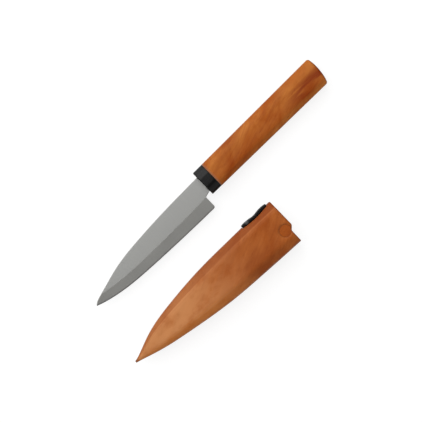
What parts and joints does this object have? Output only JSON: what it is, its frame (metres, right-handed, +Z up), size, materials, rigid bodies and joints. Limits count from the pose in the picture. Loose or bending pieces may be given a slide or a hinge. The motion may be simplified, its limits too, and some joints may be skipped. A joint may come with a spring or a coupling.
{
  "type": "paring knife",
  "caption": "Paring knife beside its carved wooden sheath: black collar, faceted wooden handle, stepped sheath mouth and a sprung black catch lever on the spine.",
  "frame": {"origin": "middle of the box round knife and sheath, on the surface that both lie on", "axes": "+X along the knife from its tip to its butt, +Y from the cutting edges towards the spines, +Z up from the surface"},
  "size_m": [0.2177, 0.081, 0.02],
  "materials": {
    "blade_steel": "ground, satin",
    "ferrule_black": "polished black horn or resin",
    "handle_wood": "oiled, reddish brown",
    "sheath_wood": "oiled, reddish brown",
    "catch_black": "polished black horn or resin",
    "pin_steel": "drawn wire"
  },
  "bodies": {
    "sheath": {"sheath_upper_half": "sheath_wood", "sheath_lower_half": "sheath_wood", "sheath_plug": "sheath_wood", "lever_pin": "pin_steel", "lever_spring": "pin_steel"},
    "knife": {"blade": "blade_steel", "ferrule": "ferrule_black", "handle": "handle_wood"},
    "catch": {"catch_lever": "catch_black"}
  },
  "joints": [
    {"name": "knife_lift", "type": "slide", "parent": "sheath", "child": "knife", "axis": [0, 0, 1], "range_m": [0, 0.15]},
    {"name": "catch_pivot", "type": "hinge", "parent": "sheath", "child": "catch", "pos_m": [0.01185, -0.01094, 0.01], "axis": [0, 0, 1], "range_deg": [0, 5], "stiffness_Nm_per_rad": 0.03, "springref_deg": -11.46, "deforming": ["lever_spring"]}
  ]
}
